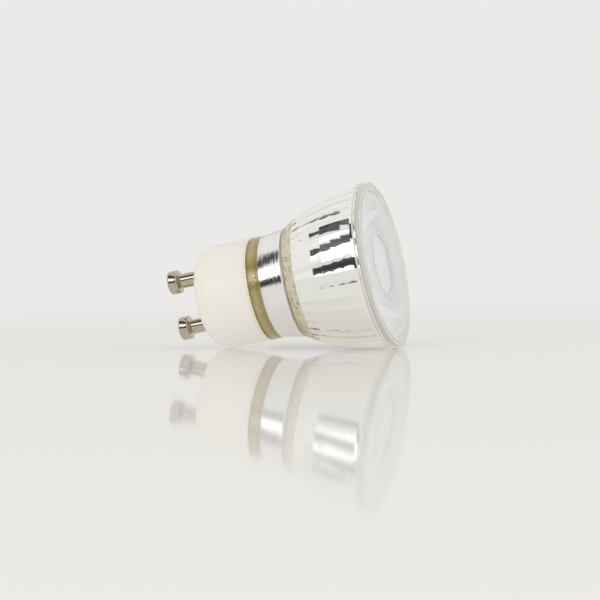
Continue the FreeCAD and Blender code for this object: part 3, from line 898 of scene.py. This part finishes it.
def addPolish(tree, surface, look):
    # mirrors more at a glancing angle, and is a plain pale tone where metal and glass mirror it, darkened
    # near the lamp by a painted shadow
    gloss = tree.nodes.new("ShaderNodeBsdfGlossy")
    gloss.inputs["Color"].default_value = look["gloss"]
    gloss.inputs["Roughness"].default_value = look["roughness"]
    sheen = tree.nodes.new("ShaderNodeFresnel")
    sheen.inputs["IOR"].default_value = look["ior"]
    polished = mixShaders(tree, sheen.outputs[0], surface, gloss.outputs[0])
    # painted shadow: the mirrored tone darkens towards the lamp
    near = addDistance(tree, (0, 0, cup["flareEndHeight"] / 2), look["shadowFrom"], look["shadowTo"])
    pale = tree.nodes.new("ShaderNodeEmission")
    tree.links.new(mixColours(tree, near, look["paintedShadow"], look["mirrored"]), pale.inputs["Color"])
    rays = tree.nodes.new("ShaderNodeLightPath")
    inMetal = mathNode(tree, "MAXIMUM", rays.outputs["Is Glossy Ray"], rays.outputs["Is Transmission Ray"])
    return mixShaders(tree, inMetal, polished, pale.outputs[0])


def makeStageMaterial(name, look, polished):
    # seen from above only, and fading out with distance
    material, tree = bareMaterial(name)
    diffuse = tree.nodes.new("ShaderNodeBsdfDiffuse")
    diffuse.inputs["Color"].default_value = look["colour"]
    surface = diffuse.outputs[0]
    if polished:
        surface = addPolish(tree, surface, look)
    fade = addDistance(tree, inLamp(look["fadeAt"]) / mm, look["fadeFrom"], look["fadeTo"])
    behind = tree.nodes.new("ShaderNodeNewGeometry").outputs["Backfacing"]
    clear = tree.nodes.new("ShaderNodeBsdfTransparent").outputs[0]
    seen = mixShaders(tree, mathNode(tree, "MAXIMUM", fade, behind), surface, clear)
    tree.links.new(seen, tree.nodes["Material Output"].inputs["Surface"])
    return material


def makeStageMesh(bm, name, material, *unseenBy):
    thing = placeMesh(bm, name, [material])
    for rays in unseenBy:
        setattr(thing, "visible_" + rays, False)


def makeTable():
    rise = Vector((math.cos(pinRoll), math.sin(pinRoll), 0))      # the set's up side of the lamp
    across = Vector((math.sin(pinRoll), -math.cos(pinRoll), 0))   # towards the camera
    first, last = [(-rise * reach + Vector((0, 0, height))) * mm
                   for reach, height in (table["rim"], table["baseEdge"])]
    along = (last - first).normalized()
    normal = along.cross(across)
    if normal.dot(rise) < 0:
        normal = -normal
    bm = bmesh.new()
    bmesh.ops.create_grid(bm, x_segments=table["cuts"], y_segments=table["cuts"], size=table["size"] * mm)
    turnOver = Matrix((across.cross(normal), across, normal)).transposed().to_4x4()
    bmesh.ops.transform(bm, verts=bm.verts, matrix=Matrix.Translation((first + last) / 2) @ turnOver)
    for face in bm.faces:
        face.normal_update()
        if face.normal.dot(normal) < 0:
            face.normal_flip()
    makeStageMesh(bm, "table", makeStageMaterial("tableTop", table, True), "diffuse", "shadow")


makeTable()


# Plain floor for the lamp standing on its rim, seen directly only

floor = {
    "radius": 250.0, "segments": 48, "drop": 0.02, "colour": colour(238, 236, 234),
    "fadeAt": (0, 0, 0), "fadeFrom": 60.0, "fadeTo": 220.0,
}


def makeFloor():
    bm = bmesh.new()
    bmesh.ops.create_circle(bm, cap_ends=True, segments=floor["segments"], radius=floor["radius"] * mm)
    bmesh.ops.translate(bm, verts=bm.verts, vec=(0, 0, -floor["drop"] * mm))
    makeStageMesh(bm, "standFloor", makeStageMaterial("standFloorTop", floor, False),
                  "diffuse", "glossy", "transmission", "shadow")


makeFloor()


# Dark parts of the studio, which the metal mirrors: angles are seen from the lamp

darkCards = {
    "roomLow": {"left": 62.0, "right": 16.0, "low": -8.0, "high": 12.5, "shadeLow": 0.02, "shadeHigh": 0.06},
    "roomHigh": {"left": 98.0, "right": 30.0, "low": 37.0, "high": 54.0, "shadeLow": 0.02, "shadeHigh": 0.12},
    "roomTop": {"left": 60.0, "right": -20.0, "low": 84.0, "high": 86.0, "shadeLow": 0.1, "shadeHigh": 0.1},
}
cardShape = {"radius": 420.0, "cuts": 16}


def makeDarkMaterial(name, card):
    # a dark tone that changes with height in the set
    material, tree = bareMaterial(name)
    upward = tree.nodes.new("ShaderNodeVectorMath")
    upward.operation = "DOT_PRODUCT"
    upward.inputs[1].default_value = setToLamp @ setUp
    tree.links.new(tree.nodes.new("ShaderNodeTexCoord").outputs["Object"], upward.inputs[0])
    reach = cardShape["radius"] * mm
    lowest, highest = [math.sin(math.radians(card[key])) * reach for key in ("low", "high")]
    tone = rangeNode(tree, upward.outputs["Value"], lowest, highest, card["shadeLow"], card["shadeHigh"])
    glow = tree.nodes.new("ShaderNodeEmission")
    tree.links.new(tone, glow.inputs["Color"])
    tree.links.new(glow.outputs[0], tree.nodes["Material Output"].inputs["Surface"])
    return material


def makeDarkCard(name, card):
    bm = bmesh.new()
    corners = [bm.verts.new(directionTo(card["left"], rise) * cardShape["radius"])
               for rise in spread(card["low"], card["high"], cardShape["cuts"])]
    edges = [bm.edges.new(pair) for pair in zip(corners, corners[1:])]
    bmesh.ops.spin(bm, geom=corners + edges, cent=(0, 0, 0), axis=(0, 0, 1),
                   angle=math.radians(card["left"] - card["right"]), steps=cardShape["cuts"], use_merge=False)
    bmesh.ops.transform(bm, verts=bm.verts, matrix=setToLamp.to_4x4())
    bmesh.ops.scale(bm, verts=bm.verts, vec=(mm, mm, mm))
    makeStageMesh(bm, name, makeDarkMaterial(name, card), "camera", "diffuse", "shadow")


for name, card in darkCards.items():
    makeDarkCard(name, card)


# Lights: a pale room and soft boxes, of which the metal mirrors only the key

room = {"colour": colour(235, 234, 232), "strength": 1.0}
boxDistance = 900.0
softBoxes = {
    "keySoftbox": {"turn": 48.0, "rise": 22.0, "size": (560.0, 350.0), "power": 0.68, "mirrored": True},
    "sideFill": {"turn": 50.0, "rise": 30.0, "size": (500.0, 400.0), "power": 0.4, "mirrored": False},
    "lensFill": {"turn": -70.0, "rise": 18.0, "size": (500.0, 400.0), "power": 2.0, "mirrored": False},
    "frontFill": {"turn": 10.0, "rise": 6.0, "size": (700.0, 300.0), "power": 1.0, "mirrored": False},
}


def makeRoom():
    world = bpy.data.worlds.new("paleStudio")
    world.use_nodes = True
    backdrop = world.node_tree.nodes["Background"]
    backdrop.inputs["Color"].default_value = room["colour"]
    backdrop.inputs["Strength"].default_value = room["strength"]
    bpy.context.scene.world = world


def makeSoftBox(name, box):
    data = bpy.data.lights.new(name, "AREA")
    data.shape = "RECTANGLE"
    data.size = box["size"][0] * mm
    data.size_y = box["size"][1] * mm
    data.energy = box["power"]
    lamp = bpy.data.objects.new(name, data)
    bpy.context.scene.collection.objects.link(lamp)
    toward = directionTo(box["turn"], box["rise"])
    side = setUp.cross(toward).normalized()
    poseInLamp(lamp, toward * boxDistance, side, toward.cross(side), toward)
    lamp.visible_camera = False
    lamp.visible_glossy = box["mirrored"]
    lamp.visible_transmission = box["mirrored"]


makeRoom()
for name, box in softBoxes.items():
    makeSoftBox(name, box)
bpy.context.scene.view_settings.view_transform = "Standard"
bounces = {"max_bounces": 32, "glossy_bounces": 24, "transmission_bounces": 24, "transparent_max_bounces": 16}
for setting, count in bounces.items():
    setattr(bpy.context.scene.cycles, setting, count)       # light crosses glass and facets many times
print("set, camera and lights made")
